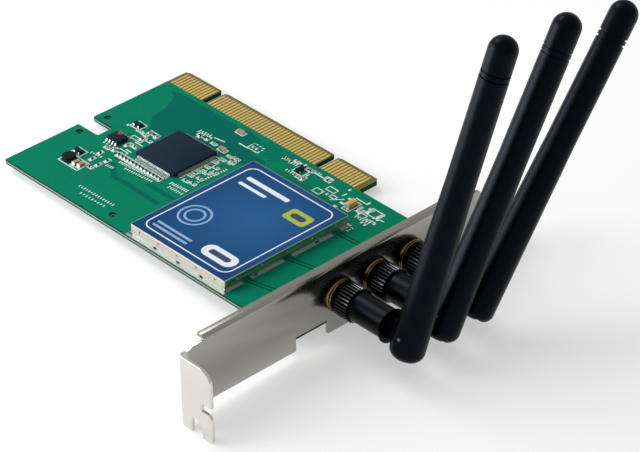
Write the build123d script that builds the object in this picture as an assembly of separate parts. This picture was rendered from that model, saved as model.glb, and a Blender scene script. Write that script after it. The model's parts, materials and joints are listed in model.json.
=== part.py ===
from build123d import *
import math
import os

# Wireless network card for a conventional 32-bit expansion slot, with three hinged aerials. Millimetres.
# Frame: origin at the middle of the edge connector's end, in the board's mid-plane.
# +X runs out of the computer through the slot bracket, +Y into the slot, +Z up from the component side.

os.makedirs("parts", exist_ok=True)

# Circuit board
board_length = 119.8
board_depth = 60.6
board_thick = 1.57
tongue_width = 81.5
tongue_depth = 8.1
tongue_bevel = 1.0
tongue_nose = 0.7
tongue_corner = 1.2
rear_notch_width = 5.7
rear_notch_depth = 8.6
rear_notch_y = -39.15
rear_notch_radius = 0.7
board_hole_r = 1.1
board_holes = ((-37.5, -44.3), (-37.5, -33.8), (2.2, -65.1))

# Edge contacts, numbered from the bracket end
contact_pitch = 1.27
contact_count = 62
contact_width = 0.95
contact_thick = 0.05
contact_margin = 1.6
key_pairs = ((12, 13), (50, 51))
key_width = 1.95
key_corner = 0.7

# Slot bracket, one folded sheet
sheet = 0.86
panel_gap = 0.84
panel_drop = 2.08
panel_width = 18.42
bracket_length = 120.02
tab_reach = 107.8
tab_depth = 11.43
tab_overhang = 3.17
tab_corner_r = 4.0
tab_foot_r = 0.9
bend_in_r = 0.4
slot_width = 4.1
slot_depth = 4.95
slot_offset = 5.7
tab_notch_depth = 3.7
tab_notch_height = 2.5
tab_notch_rise = 8.4
tab_notch_r = 1.7
shoulder_y = 3.4
shoulder_run = 1.1
shoulder_rise = 0.7
flange_start = 8.1
flange_length = 90.0
flange_depth = 2.6
panel_end = 106.5
tongue_taper = 4.0
bracket_tongue_width = 10.2
bracket_tongue_r = 2.0
foot_notch_width = 11.3
foot_notch_height = 4.4
foot_notch_y = 44.9

# Aerial jacks
jack_count = 3
jack_pitch = 13.05
jack_first_y = -52.0
jack_height = 5.85
thread_r = 3.175
thread_reach = 4.9
jack_hole_clear = 0.18
jack_bore_r = 2.4
jack_bore_depth = 2.6
jack_bore_wall = 1.0
jack_block_depth = 6.6
jack_block_width = 7.8
jack_block_rise = 3.3
jack_leg_r = 0.6
jack_leg_inset = 0.9
leg_clear = 0.1
leg_drop = 1.0
insulator_r = 2.05
pin_r = 0.46
pin_reach = 4.4
pin_bend = 4.2
washer_r = 4.75
washer_thick = 0.4
hex_across = 7.6
hex_corner_r = 4.3
hex_thick = 1.5
hex_chamfer = 0.2

# Aerials: coupling nut, swivelling base, hinged rod
nut_gap = 0.1
nut_length = 6.6
nut_skirt = 1.9
nut_skirt_r = 4.85
nut_r = 5.0
knurl_depth = 0.32
knurl_count = 32
knurl_length = 4.1
nut_rim_r = 4.72
nut_nose_r = 4.2
nut_wall = 1.4
nut_clear = 0.14
core_clear = 0.12
core_flange = 0.6
core_neck = 0.3
core_tail = 2.0
core_tail_r = 2.2
base_r = 4.3
base_length = 10.8
collar_r = 4.95
collar_flare = 0.75
hinge_x = 25.9
hinge_clear = 0.15
hinge_pin_r = 0.5
hinge_pin_clear = 0.04
knuckle_r = 3.0
knuckle_thick = 3.6
rod_foot = 6.2
rod_foot_fillet = 2.9
rod_foot_r = 4.85
rod_top_r = 3.97
rod_taper_end = 46.0
rod_length = 74.3
cap_length = 11.7
groove_depth = 0.4
groove_width = 0.5
groove_pitch = 1.6
rod_bore_r = 2.2
rod_bore_start = 9.0
cap_plug = 5.0
cap_plug_clear = 0.05
radiator_r = 1.2
rod_leans = (18.4, 28.3, 38.1)
rod_tilts = (4.2, 2.1, 0.0)

# Shielding can
can_x = 32.5
can_y = -45.1
can_length = 38.7
can_width = 45.4
can_height = 3.5
can_sheet = 0.25
can_lip = 1.6
cover_lift = 1.25
cover_clear = 0.05
can_vent_r = 0.35
can_vent_count = 5
frame_foot_gap = 1.4
frame_foot_rise = 0.5
frame_foot_count = 4
label_thick = 0.1
label_inset = 0.25

# Chips on the open part of the board
main_chip_at = (-8.15, -32.8)
main_chip_size = 16.4
main_chip_height = 1.4
main_lead_count = 28
main_lead = {"width": 0.24, "thick": 0.15, "knee": 0.35, "foot": 0.55, "tip": 1.0, "pitch": 0.5}
memory_chip_at = (-26.1, -39.6)
memory_chip_size = (4.9, 3.9)
memory_chip_height = 1.45
memory_lead_count = 4
memory_lead = {"width": 0.42, "thick": 0.2, "knee": 0.3, "foot": 0.6, "tip": 1.05, "pitch": 1.27}
chip_standoff = 0.1
mould_draft = 8.0
transistor_size = (2.9, 1.4)
transistor_height = 1.0
transistor_lead = {"width": 0.42, "thick": 0.14, "knee": 0.2, "foot": 0.35, "tip": 0.6, "pitch": 1.9}
transistors = ((-27.9, -30.2, 0), (-29.0, -51.4, 0), (22.0, -13.1, 90))
inductor_at = (-28.3, -55.6)
inductor_r = 2.15
inductor_height = 1.4
inductor_waist = 0.25
tantalum_size = (3.2, 1.7, 1.6)
tantalums = ((45.2, -15.2, 90),)
chip_size = (1.0, 0.5, 0.45)
resistor_row_x = (-20.0, -2.2)
resistor_row_y = -44.2
resistor_row_count = 13
resistors = (
    (-23.6, -51.1, 90), (-24.4, -47.5, 90), (-19.8, -48.7, 90), (-20.0, -51.9, 90), (-20.8, -54.2, 0),
    (-19.9, -38.3, 0), (-21.8, -34.1, 90), (-19.5, -33.5, 0), (-11.4, -21.2, 90), (-8.6, -20.6, 90),
    (3.6, -39.5, 0), (6.1, -39.1, 0), (5.6, -36.0, 0), (4.8, -32.4, 0), (6.2, -31.0, 0), (4.4, -29.1, 0),
    (15.0, -11.6, 0), (22.1, -10.9, 0), (24.3, -11.0, 0), (31.3, -11.1, 0),
)
capacitors = (
    (-25.1, -44.3, 0), (-22.7, -43.4, 90), (-22.3, -39.2, 90), (-22.8, -32.1, 0), (-25.4, -31.9, 0),
    (-22.6, -30.4, 90), (-19.6, -30.4, 90), (-5.4, -21.2, 0), (2.3, -36.7, 0), (2.3, -33.5, 0),
    (2.3, -30.5, 0), (2.0, -27.3, 0), (2.7, -24.9, 0), (2.9, -22.4, 0), (5.6, -24.1, 0), (4.9, -21.9, 0),
    (18.1, -10.6, 0), (24.0, -15.7, 0), (25.7, -15.4, 90),
)
large_chip_size = (2.0, 1.25, 0.9)
large_capacitors = ((-24.9, -55.9, 90), (-23.1, -55.5, 90), (-1.2, -21.6, 0), (-4.4, -11.8, 0))

# Under the shielding can
radio_chip_at = (27.0, -46.0)
radio_chip_size = 9.0
amplifier_size = 3.6
amplifier_x = 43.0
quad_height = 0.9
crystal_at = (19.0, -32.0)
crystal_size = (5.0, 3.2, 1.1)

# Places worked out from the sizes above
top_z = board_thick / 2
board_rear_x = -tongue_width / 2
board_front_x = board_rear_x + board_length
board_far_y = -tongue_depth
board_near_y = board_far_y - board_depth
first_contact_x = board_rear_x + contact_margin + (contact_count - 1) * contact_pitch
panel_in_x = board_front_x + panel_gap
panel_out_x = panel_in_x + sheet
panel_low_z = -top_z - panel_drop
tab_y = -tab_reach
tab_top_z = panel_low_z + panel_width
tab_low_z = panel_low_z - tab_overhang
panel_top_z = tab_top_z + shoulder_rise
tab_out_x = panel_out_x + tab_depth
slot_x = panel_out_x + slot_offset
jack_z = top_z + jack_height
jack_places = [(panel_out_x, jack_first_y + i * jack_pitch, jack_z) for i in range(jack_count)]
jack_back = -sheet - jack_block_depth
hex_start = washer_thick
hex_end = hex_start + hex_thick
nut_start = washer_thick + nut_gap
nut_end = nut_start + nut_length
nut_wall_x = nut_end - nut_wall
base_start = nut_end + core_clear
base_end = base_start + base_length
collar_x = base_end + collar_flare
rod_reach = rod_length + cap_length
core_neck_r = core_tail_r + core_neck
can_top_z = top_z + can_height


def block(x0, x1, y0, y1, z0, z1):
    return Pos((x0 + x1) / 2, (y0 + y1) / 2, (z0 + z1) / 2) * Box(x1 - x0, y1 - y0, z1 - z0)


def upright(x, y, r, z0, z1):
    return Pos(x, y, (z0 + z1) / 2) * Cylinder(r, z1 - z0)


def turned(outline):
    # outline: (place along X, radius) points of the section, turned about X
    return revolve(make_face(Polyline(*outline, close=True)), Axis.X)


def prism(points, along):
    # a face through the points, pushed along a vector
    face = make_face(Polyline(*points, close=True))
    vector = Vector(*along)
    return extrude(face, amount=vector.length, dir=vector.normalized())


def save(name, *solids):
    pieces = [s for part in solids for s in part.solids()]
    shape = pieces[0] if len(pieces) == 1 else Compound(children=pieces)
    shape.label = name
    export_step(shape, "parts/" + name + ".step")


def contact_x(number):
    return first_contact_x - (number - 1) * contact_pitch


def contact_numbers():
    keyed = [n for pair in key_pairs for n in pair]
    return [n for n in range(1, contact_count + 1) if n not in keyed]


def make_board():
    body = Pos((board_rear_x + board_front_x) / 2, (board_near_y + board_far_y) / 2)
    outline = body * Rectangle(board_length, board_depth)
    outline += Pos(0, -tongue_depth / 2) * Rectangle(tongue_width, tongue_depth)
    for low, high in key_pairs:
        middle = (contact_x(low) + contact_x(high)) / 2
        outline -= Pos(middle, -tongue_depth / 2) * Rectangle(key_width, tongue_depth)
    notch = RectangleRounded(2 * rear_notch_depth, rear_notch_width, rear_notch_radius)
    outline -= Pos(board_rear_x, rear_notch_y) * notch
    for x, y in board_holes:
        outline -= Pos(x, y) * Circle(board_hole_r)
    for x, y in leg_places():
        outline -= Pos(x, y) * Circle(jack_leg_r + leg_clear)
    for place in jack_places:
        tail_x = place[0] + jack_back + jack_block_depth - pin_bend
        outline -= Pos(tail_x, place[1]) * Circle(pin_r + leg_clear)
    board = Pos(0, 0, -top_z) * extrude(outline, board_thick)
    corners = board.edges().filter_by(Axis.Z).group_by(Axis.Y)[-1].sort_by(Axis.X)
    board = chamfer([corners[0], corners[-1]], tongue_corner)
    mouths = board.edges().filter_by(Axis.Z).group_by(Axis.Y)[-1].sort_by(Axis.X)
    board = chamfer(mouths[1:-1], key_corner)
    end_x = board_rear_x - 1
    for side in (1, -1):
        # the bare tongue lies one contact's thickness below the coated face, and its end is bevelled
        bare = side * (top_z - contact_thick)
        nose = side * tongue_nose / 2
        over = side * board_thick
        step = [(end_x, -tongue_depth, bare), (end_x, -tongue_bevel, bare), (end_x, 0, nose),
                (end_x, 1, nose), (end_x, 1, over), (end_x, -tongue_depth, over)]
        board -= prism(step, (tongue_width + 2, 0, 0))
    return board


def make_contacts(side):
    low = top_z - contact_thick if side > 0 else -top_z
    fingers = []
    for number in contact_numbers():
        x = contact_x(number)
        half = contact_width / 2
        fingers.append(block(x - half, x + half, -tongue_depth, -tongue_bevel, low, low + contact_thick))
    return fingers


def leg_places():
    across = jack_block_width / 2 - jack_leg_inset
    places = []
    for x, y, _ in jack_places:
        for leg_x in (x + jack_back + jack_leg_inset, x - sheet - panel_gap - 2 * jack_leg_inset):
            places += [(leg_x, y - across), (leg_x, y + across)]
    return places


def make_bracket():
    low, top = panel_low_z, panel_top_z
    mid = panel_low_z + panel_width / 2
    half = bracket_tongue_width / 2
    bend_y = tab_y + sheet + bend_in_r
    end_y = tab_y + panel_end
    tip_y = tab_y + bracket_length
    outline = [(bend_y, low), (end_y, low), (end_y + tongue_taper, mid - half), (tip_y, mid - half),
               (tip_y, mid + half), (end_y + tongue_taper, mid + half), (end_y, top),
               (tab_y + shoulder_y + shoulder_run, top), (tab_y + shoulder_y, tab_top_z), (bend_y, tab_top_z)]
    panel = prism([(panel_in_x, y, z) for y, z in outline], (sheet, 0, 0))
    panel = fillet(panel.edges().filter_by(Axis.X).group_by(Axis.Y)[-1], bracket_tongue_r)
    notch_y = tab_y + foot_notch_y
    half_notch = foot_notch_width / 2
    panel -= block(panel_in_x - 1, panel_out_x + 1, notch_y - half_notch, notch_y + half_notch,
                   low - 1, low + foot_notch_height)
    for _, y, z in jack_places:
        hole = Cylinder(thread_r + jack_hole_clear, 4 * sheet)
        panel -= Pos((panel_in_x + panel_out_x) / 2, y, z) * Rot(0, 90, 0) * hole
    return panel + make_flange() + make_tab()


def quarter(start, end, centre):
    # quarter-circle edge between two points about a centre
    c = Vector(*centre)
    middle = c + ((Vector(*start) - c) + (Vector(*end) - c)) * math.sqrt(0.5)
    return ThreePointArc(start, middle, end)


def make_flange():
    # quarter bend from the panel's top edge, then a short flat lip towards the board
    y = tab_y + flange_start
    cx = panel_in_x - bend_in_r
    outer = bend_in_r + sheet
    end_x = panel_out_x - flange_depth
    z = panel_top_z
    outline = [
        Line((cx + outer, y, z), (cx + bend_in_r, y, z)),
        quarter((cx + bend_in_r, y, z), (cx, y, z + bend_in_r), (cx, y, z)),
        Line((cx, y, z + bend_in_r), (end_x, y, z + bend_in_r)),
        Line((end_x, y, z + bend_in_r), (end_x, y, z + outer)),
        Line((end_x, y, z + outer), (cx, y, z + outer)),
        quarter((cx, y, z + outer), (cx + outer, y, z), (cx, y, z)),
    ]
    return extrude(make_face(outline), amount=flange_length, dir=(0, 1, 0))


def make_tab():
    # quarter bend at the panel's end, then the flat tab with its screw slot
    cx = panel_out_x + bend_in_r
    cy = tab_y + sheet + bend_in_r
    outer = bend_in_r + sheet
    bend = make_face([
        Line((cx - outer, cy, panel_low_z), (cx - bend_in_r, cy, panel_low_z)),
        quarter((cx - bend_in_r, cy, panel_low_z), (cx, cy - bend_in_r, panel_low_z), (cx, cy, panel_low_z)),
        Line((cx, cy - bend_in_r, panel_low_z), (cx, cy - outer, panel_low_z)),
        quarter((cx, cy - outer, panel_low_z), (cx - outer, cy, panel_low_z), (cx, cy, panel_low_z)),
    ])
    tab = extrude(bend, amount=panel_width, dir=(0, 0, 1))
    flat = [(cx, tab_top_z), (tab_out_x, tab_top_z), (tab_out_x, tab_low_z), (panel_out_x, tab_low_z),
            (panel_out_x, panel_low_z), (cx, panel_low_z)]
    plate = prism([(x, tab_y, z) for x, z in flat], (0, sheet, 0))
    corner = plate.edges().filter_by(Axis.Y).group_by(Axis.Z)[-1].sort_by(Axis.X)[-1]
    plate = fillet(corner, tab_corner_r)
    notch_z = tab_low_z + tab_notch_rise
    plate -= block(tab_out_x - tab_notch_depth, tab_out_x + 1, tab_y - 1, tab_y + sheet + 1,
                   notch_z, notch_z + tab_notch_height)
    slot_r = slot_width / 2
    slot_top = tab_low_z + slot_depth - slot_r
    plate -= block(slot_x - slot_r, slot_x + slot_r, tab_y - 1, tab_y + sheet + 1, tab_low_z - 1, slot_top)
    plate -= Pos(slot_x, tab_y + sheet / 2, slot_top) * Rot(90, 0, 0) * Cylinder(slot_r, 4 * sheet)
    for x, z, r in ((tab_out_x, notch_z, tab_notch_r), (tab_out_x, tab_low_z, tab_foot_r),
                    (panel_out_x, tab_low_z, tab_foot_r)):
        edges = plate.edges().filter_by(Axis.Y)
        plate = fillet(edges.sort_by_distance((x, tab_y + sheet / 2, z))[0], r)
    return tab + plate


def make_can_frame():
    # soldered fence under the cover, with a lip inside its top edge
    length = can_length - 2 * (can_sheet + cover_clear)
    width = can_width - 2 * (can_sheet + cover_clear)
    height = can_height - can_sheet
    fence = Pos(0, 0, height / 2) * Box(length, width, height)
    fence -= Pos(0, 0, height / 2 - can_sheet) * Box(length - 2 * can_sheet, width - 2 * can_sheet, height)
    fence -= Pos(0, 0, height) * Box(length - 2 * can_lip, width - 2 * can_lip, height)
    for i in range(1, frame_foot_count):
        share = i / frame_foot_count - 0.5
        fence -= Pos(share * length, 0, 0) * Box(frame_foot_gap, width + 1, 2 * frame_foot_rise)
        fence -= Pos(0, share * width, 0) * Box(length + 1, frame_foot_gap, 2 * frame_foot_rise)
    return Pos(can_x, can_y, top_z) * fence


def make_can_cover():
    # pressed lid whose skirt grips the fence, with a row of round dimple holes on each side
    skirt = can_height - cover_lift
    cover = Pos(0, 0, cover_lift + skirt / 2) * Box(can_length, can_width, skirt)
    inner = Box(can_length - 2 * can_sheet, can_width - 2 * can_sheet, skirt)
    cover = fillet(cover.edges().filter_by(Axis.Z), 2 * can_sheet)
    cover -= Pos(0, 0, cover_lift + skirt / 2 - can_sheet) * inner
    vent_z = cover_lift + skirt / 2
    for i in range(can_vent_count):
        share = (i + 0.5) / can_vent_count - 0.5
        cover -= Pos(share * can_length, 0, vent_z) * Rot(90, 0, 0) * Cylinder(can_vent_r, can_width + 1)
        cover -= Pos(0, share * can_width, vent_z) * Rot(0, 90, 0) * Cylinder(can_vent_r, can_length + 1)
    return Pos(can_x, can_y, top_z) * cover


def make_label():
    size = (can_length - 2 * label_inset, can_width - 2 * label_inset, label_thick)
    return Pos(can_x, can_y, can_top_z + label_thick / 2) * Box(*size)


def moulded(length, width, height):
    # chip body: two drafted halves that meet at the lead frame's plane
    half = (height - chip_standoff) / 2
    middle = chip_standoff + half
    upper = extrude(Rectangle(length, width), half, taper=mould_draft)
    lower = extrude(Rectangle(length, width), -half, taper=mould_draft)
    return Pos(0, 0, middle) * (upper + lower)


def gull_lead(shape, height):
    # bent lead that leaves the chip's side at x = 0 and stands on the board
    t = shape["thick"]
    z = chip_standoff + (height - chip_standoff) / 2
    knee, foot, tip = shape["knee"], shape["foot"], shape["tip"]
    outline = [(0, z + t / 2), (knee, z + t / 2), (foot + t / 2, t), (tip, t),
               (tip, 0), (foot - t / 2, 0), (knee - t / 2, z - t / 2), (0, z - t / 2)]
    half = shape["width"] / 2
    return prism([(x, -half, z) for x, z in outline], (0, shape["width"], 0))


def lead_row(shape, height, count, reach, turn):
    # one side's leads: reach is from the chip's middle to its side
    lead = gull_lead(shape, height)
    rows = []
    for i in range(count):
        along = (i - (count - 1) / 2) * shape["pitch"]
        rows.append(Rot(0, 0, turn) * Pos(reach, along, 0) * lead)
    return rows


def make_main_leads():
    x, y = main_chip_at
    leads = []
    for turn in (0, 90, 180, 270):
        leads += lead_row(main_lead, main_chip_height, main_lead_count, main_chip_size / 2, turn)
    return [Pos(x, y, top_z) * lead for lead in leads]


def make_memory_leads():
    x, y = memory_chip_at
    leads = []
    for turn in (90, 270):
        leads += lead_row(memory_lead, memory_chip_height, memory_lead_count, memory_chip_size[1] / 2, turn)
    return [Pos(x, y, top_z) * lead for lead in leads]


def make_transistors():
    bodies = []
    leads = []
    for x, y, turn in transistors:
        place = Pos(x, y, top_z) * Rot(0, 0, turn)
        bodies.append(place * moulded(*transistor_size, transistor_height))
        side = transistor_size[1] / 2
        pins = lead_row(transistor_lead, transistor_height, 2, side, 270)
        pins += lead_row(transistor_lead, transistor_height, 1, side, 90)
        leads += [place * pin for pin in pins]
    return bodies, leads


def make_inductor():
    # drum core with a wound waist, turned about the upright axis
    x, y = inductor_at
    h, r, w = inductor_height, inductor_r, inductor_waist
    outline = [(0, 0), (0, r), (w, r), (2 * w, r - w), (h - 2 * w, r - w), (h - w, r), (h, r - w), (h, 0)]
    return Pos(x, y, top_z) * Rot(0, -90, 0) * turned(outline)


def chips(places, size):
    length, width, height = size
    chip = Pos(0, 0, height / 2) * Box(length, width, height)
    return [Pos(x, y, top_z) * Rot(0, 0, turn) * chip for x, y, turn in places]


def resistor_row():
    # evenly spaced chips along the main chip's near side
    first, last = resistor_row_x
    step = (last - first) / (resistor_row_count - 1)
    return [(first + i * step, resistor_row_y, 90) for i in range(resistor_row_count)]


def make_quads():
    x, y = radio_chip_at
    radio = Pos(x, y, top_z) * moulded(radio_chip_size, radio_chip_size, quad_height)
    amplifiers = [Pos(amplifier_x, place[1], top_z) * moulded(amplifier_size, amplifier_size, quad_height)
                  for place in jack_places]
    cx, cy = crystal_at
    length, width, height = crystal_size
    crystal = Pos(cx, cy, top_z + height / 2) * Box(length, width, height)
    crystal = fillet(crystal.edges().filter_by(Axis.Z), width / 8)
    return radio, amplifiers, crystal


def make_jack():
    # right-angle jack about the local X axis, with x = 0 at the panel's outer face
    floor = -jack_height
    half = jack_block_width / 2
    body = block(jack_back, -sheet, -half, half, floor, jack_block_rise)
    barrel_end = thread_reach - jack_bore_depth
    body += turned([(-sheet, 0), (-sheet, thread_r), (thread_reach, thread_r), (thread_reach, 0)])
    bore_back = jack_back + jack_bore_wall
    body -= turned([(bore_back, 0), (bore_back, insulator_r), (barrel_end, insulator_r),
                    (barrel_end, jack_bore_r), (thread_reach + 1, jack_bore_r), (thread_reach + 1, 0)])
    tail_x = jack_back + jack_block_depth - pin_bend
    body -= upright(tail_x, 0, 2 * pin_r, floor - 1, 0)
    for x, y in leg_places()[:4]:
        leg_y = y - jack_places[0][1]
        body += upright(x - panel_out_x, leg_y, jack_leg_r, floor - board_thick - leg_drop, floor)
    clear_x = tail_x + 2 * pin_r
    insulator = turned([(clear_x, pin_r), (clear_x, insulator_r), (barrel_end, insulator_r),
                        (barrel_end, pin_r)])
    contact = turned([(tail_x - pin_r, 0), (tail_x - pin_r, pin_r), (pin_reach, pin_r), (pin_reach, 0)])
    contact += upright(tail_x, 0, pin_r, floor - board_thick - leg_drop, 0)
    washer = turned([(0, thread_r + jack_hole_clear), (0, washer_r), (washer_thick, washer_r),
                     (washer_thick, thread_r + jack_hole_clear)])
    hex_nut = Pos(hex_start, 0, 0) * Rot(0, 90, 0) * extrude(
        RegularPolygon(hex_across / 2, 6, major_radius=False), hex_thick)
    hex_nut &= turned([(hex_start, 0), (hex_start, hex_corner_r), (hex_end - hex_chamfer, hex_corner_r),
                       (hex_end, hex_across / 2), (hex_end, 0)])
    hex_nut -= turned([(-1, 0), (-1, thread_r), (hex_end + 1, thread_r), (hex_end + 1, 0)])
    return {"body": body, "insulator": insulator, "contact": contact, "washer": washer, "nut": hex_nut}


def make_coupling_nut():
    # smooth skirt over the hex nut, knurled grip, rim and nose; walled to catch the core's flange
    knurl_start = nut_start + nut_skirt
    knurl_end = knurl_start + knurl_length
    points = []
    for i in range(2 * knurl_count):
        r = nut_r if i % 2 else nut_r - knurl_depth
        turn = math.pi * i / knurl_count
        points.append((knurl_start, r * math.cos(turn), r * math.sin(turn)))
    nut = prism(points, (knurl_length, 0, 0))
    nut += turned([(nut_start, 0), (nut_start, nut_skirt_r), (knurl_start, nut_skirt_r), (knurl_start, 0)])
    nut += turned([(knurl_end, 0), (knurl_end, nut_rim_r), (nut_end - (nut_rim_r - nut_nose_r), nut_rim_r),
                   (nut_end, nut_nose_r), (nut_end, 0)])
    skirt_bore_r = hex_corner_r + nut_clear
    skirt_end = hex_end + nut_gap
    bore_r = thread_r + nut_clear
    neck_r = core_neck_r + core_clear
    nut -= turned([(nut_start - 1, 0), (nut_start - 1, skirt_bore_r), (skirt_end, skirt_bore_r),
                   (skirt_end, bore_r), (nut_wall_x, bore_r), (nut_wall_x, neck_r), (nut_end + 1, neck_r),
                   (nut_end + 1, 0)])
    return nut


def make_core():
    # turned connector core: socket in the jack's bore, flange behind the nut's wall, tail in the base
    tip = thread_reach - jack_bore_depth + core_clear
    socket_r = jack_bore_r - core_clear
    flange = nut_wall_x - core_clear
    flange_back = flange - core_flange
    flange_r = thread_r - core_clear / 2
    hole_r = pin_r + core_clear
    hole_end = pin_reach + 2 * core_clear
    tail = base_start + core_tail
    return turned([(tip, hole_r), (tip, socket_r), (flange_back, socket_r), (flange_back, flange_r),
                   (flange, flange_r), (flange, core_neck_r), (base_start, core_neck_r),
                   (base_start, core_tail_r), (tail, core_tail_r), (tail, 0), (hole_end, 0),
                   (hole_end, hole_r)])


def make_base():
    # bored cylinder with a flared collar and a flat knuckle for the hinge
    tail = base_start + core_tail
    base = turned([(base_start, core_tail_r), (base_start, base_r), (base_end, base_r), (collar_x, collar_r),
                   (collar_x, 0), (tail, 0), (tail, core_tail_r)])
    half = knuckle_thick / 2
    knuckle = block(collar_x - 1, hinge_x, -half, half, -knuckle_r, knuckle_r)
    knuckle += Pos(hinge_x, 0, 0) * Rot(90, 0, 0) * Cylinder(knuckle_r, knuckle_thick)
    base += knuckle
    base -= Pos(hinge_x, 0, 0) * Rot(90, 0, 0) * Cylinder(hinge_pin_r + hinge_pin_clear, 2 * knuckle_thick)
    return base


def rod_r(s):
    # the rod narrows from its foot to a straight upper part
    share = min((s + rod_foot) / (rod_taper_end + rod_foot), 1)
    return rod_foot_r + (rod_top_r - rod_foot_r) * share


def standing(outline):
    # (height, radius) section turned about the upright through the hinge
    return Pos(hinge_x, 0, 0) * Rot(0, -90, 0) * turned(outline)


def make_rod():
    # moulded sleeve: forked foot round the knuckle, tapered body, bore for the radiator
    sleeve = standing([(-rod_foot, 0), (-rod_foot, rod_foot_r), (rod_taper_end, rod_top_r),
                       (rod_length, rod_top_r), (rod_length, 0)])
    # the round foot passes the collar as the rod tilts, and the next rod as it swivels
    foot_edge = sleeve.edges().filter_by(GeomType.CIRCLE).sort_by(Axis.Z)[0]
    sleeve = fillet(foot_edge, rod_foot_fillet)
    far = 2 * rod_foot_r
    across = Pos(hinge_x, 0, 0) * Rot(90, 0, 0)
    reach = knuckle_r + hinge_clear
    half = knuckle_thick / 2 + hinge_clear
    slot = block(hinge_x - far, hinge_x + reach, -half, half, -far, reach)
    inner = slot.edges().filter_by(Axis.Y).group_by(Axis.Z)[-1].sort_by(Axis.X)[-1]
    sleeve -= fillet(inner, reach)
    sleeve -= across * Cylinder(hinge_pin_r + hinge_pin_clear / 2, 2 * far)
    sleeve -= standing([(rod_bore_start, 0), (rod_bore_start, rod_bore_r), (rod_length + 1, rod_bore_r),
                        (rod_length + 1, 0)])
    return sleeve


def make_tip_cap():
    # plug in the sleeve's bore, two grooves round the joint, domed end
    r = rod_top_r
    neck = r - groove_depth
    first = rod_length + groove_width
    second = rod_length + groove_pitch
    dome = rod_reach - r
    plug = rod_bore_r - cap_plug_clear
    third = second + groove_width
    plug_end = rod_length - cap_plug
    outline = Polyline((dome, r), (third, r), (third, neck), (second, neck), (second, r), (first, r),
                       (first, neck), (rod_length, neck), (rod_length, plug), (plug_end, plug), (plug_end, 0),
                       (rod_reach, 0))
    cap = revolve(make_face(outline + quarter((rod_reach, 0), (dome, r), (dome, 0))), Axis.X)
    return Pos(hinge_x, 0, 0) * Rot(0, -90, 0) * cap


def make_radiator():
    end = rod_length - cap_plug
    return standing([(rod_bore_start, 0), (rod_bore_start, radiator_r), (end, radiator_r), (end, 0)])


def make_hinge_pin():
    length = 2 * (rod_r(0) - hinge_pin_clear)
    return Pos(hinge_x, 0, 0) * Rot(90, 0, 0) * Cylinder(hinge_pin_r, length)


save("circuit_board", make_board())
save("edge_contacts_front", *make_contacts(1))
save("edge_contacts_back", *make_contacts(-1))
save("slot_bracket", make_bracket())
save("shield_frame", make_can_frame())
save("shield_cover", make_can_cover())
save("shield_label", make_label())
save("main_chip", Pos(*main_chip_at, top_z) * moulded(main_chip_size, main_chip_size, main_chip_height))
save("main_chip_leads", *make_main_leads())
save("memory_chip", Pos(*memory_chip_at, top_z) * moulded(*memory_chip_size, memory_chip_height))
save("memory_chip_leads", *make_memory_leads())
transistor_bodies, transistor_leads = make_transistors()
save("transistors", *transistor_bodies)
save("transistor_leads", *transistor_leads)
save("power_inductor", make_inductor())
save("tantalum_capacitor", *chips(tantalums, tantalum_size))
save("large_capacitors", *chips(large_capacitors, large_chip_size))
save("chip_capacitors", *chips(capacitors, chip_size))
save("chip_resistors", *chips([*resistors, *resistor_row()], chip_size))
radio_chip, amplifier_chips, crystal_can = make_quads()
save("radio_chip", radio_chip)
save("power_amplifiers", *amplifier_chips)
save("clock_crystal", crystal_can)

jack = make_jack()
nut = make_coupling_nut()
core = make_core()
base = make_base()
rod = make_rod()
cap = make_tip_cap()
radiator = make_radiator()
hinge_pin = make_hinge_pin()
for i, (place, lean, tilt) in enumerate(zip(jack_places, rod_leans, rod_tilts), start=1):
    on_axis = Pos(*place)
    leaning = on_axis * Rot(-lean, 0, 0)
    tilted = leaning * Pos(hinge_x, 0, 0) * Rot(0, tilt, 0) * Pos(-hinge_x, 0, 0)
    for piece, shape in jack.items():
        save("jack_%d_%s" % (i, piece), on_axis * shape)
    save("aerial_%d_coupling_nut" % i, on_axis * nut)
    save("aerial_%d_core" % i, leaning * core)
    save("aerial_%d_base" % i, leaning * base)
    save("aerial_%d_hinge_pin" % i, leaning * hinge_pin)
    save("aerial_%d_rod" % i, tilted * rod)
    save("aerial_%d_tip_cap" % i, tilted * cap)
    save("aerial_%d_radiator" % i, tilted * radiator)
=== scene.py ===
import json
import math

import bpy
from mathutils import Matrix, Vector

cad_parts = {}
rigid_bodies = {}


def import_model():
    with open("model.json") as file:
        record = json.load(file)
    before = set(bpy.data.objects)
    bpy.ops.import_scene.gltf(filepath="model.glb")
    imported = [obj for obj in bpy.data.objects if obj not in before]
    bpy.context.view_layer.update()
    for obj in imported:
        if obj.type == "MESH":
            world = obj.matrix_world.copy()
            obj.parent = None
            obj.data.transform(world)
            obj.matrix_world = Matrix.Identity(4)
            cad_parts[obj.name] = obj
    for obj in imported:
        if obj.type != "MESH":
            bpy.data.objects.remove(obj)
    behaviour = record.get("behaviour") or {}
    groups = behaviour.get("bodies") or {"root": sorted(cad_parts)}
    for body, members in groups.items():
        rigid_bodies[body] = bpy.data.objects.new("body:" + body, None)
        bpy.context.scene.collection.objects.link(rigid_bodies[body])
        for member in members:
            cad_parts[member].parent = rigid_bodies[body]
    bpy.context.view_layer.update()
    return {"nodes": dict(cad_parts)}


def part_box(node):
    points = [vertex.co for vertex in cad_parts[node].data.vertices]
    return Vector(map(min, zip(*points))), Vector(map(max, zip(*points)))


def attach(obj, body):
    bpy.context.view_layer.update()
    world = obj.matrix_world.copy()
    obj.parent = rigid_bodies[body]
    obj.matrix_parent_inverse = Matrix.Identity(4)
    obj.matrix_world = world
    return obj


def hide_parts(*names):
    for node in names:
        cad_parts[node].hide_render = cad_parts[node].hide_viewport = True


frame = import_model()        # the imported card, in metres
nodes = frame["nodes"]
mm = 0.001
print("loaded", len(nodes), "solids")


# small helpers for selecting, shaping and placing

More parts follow.
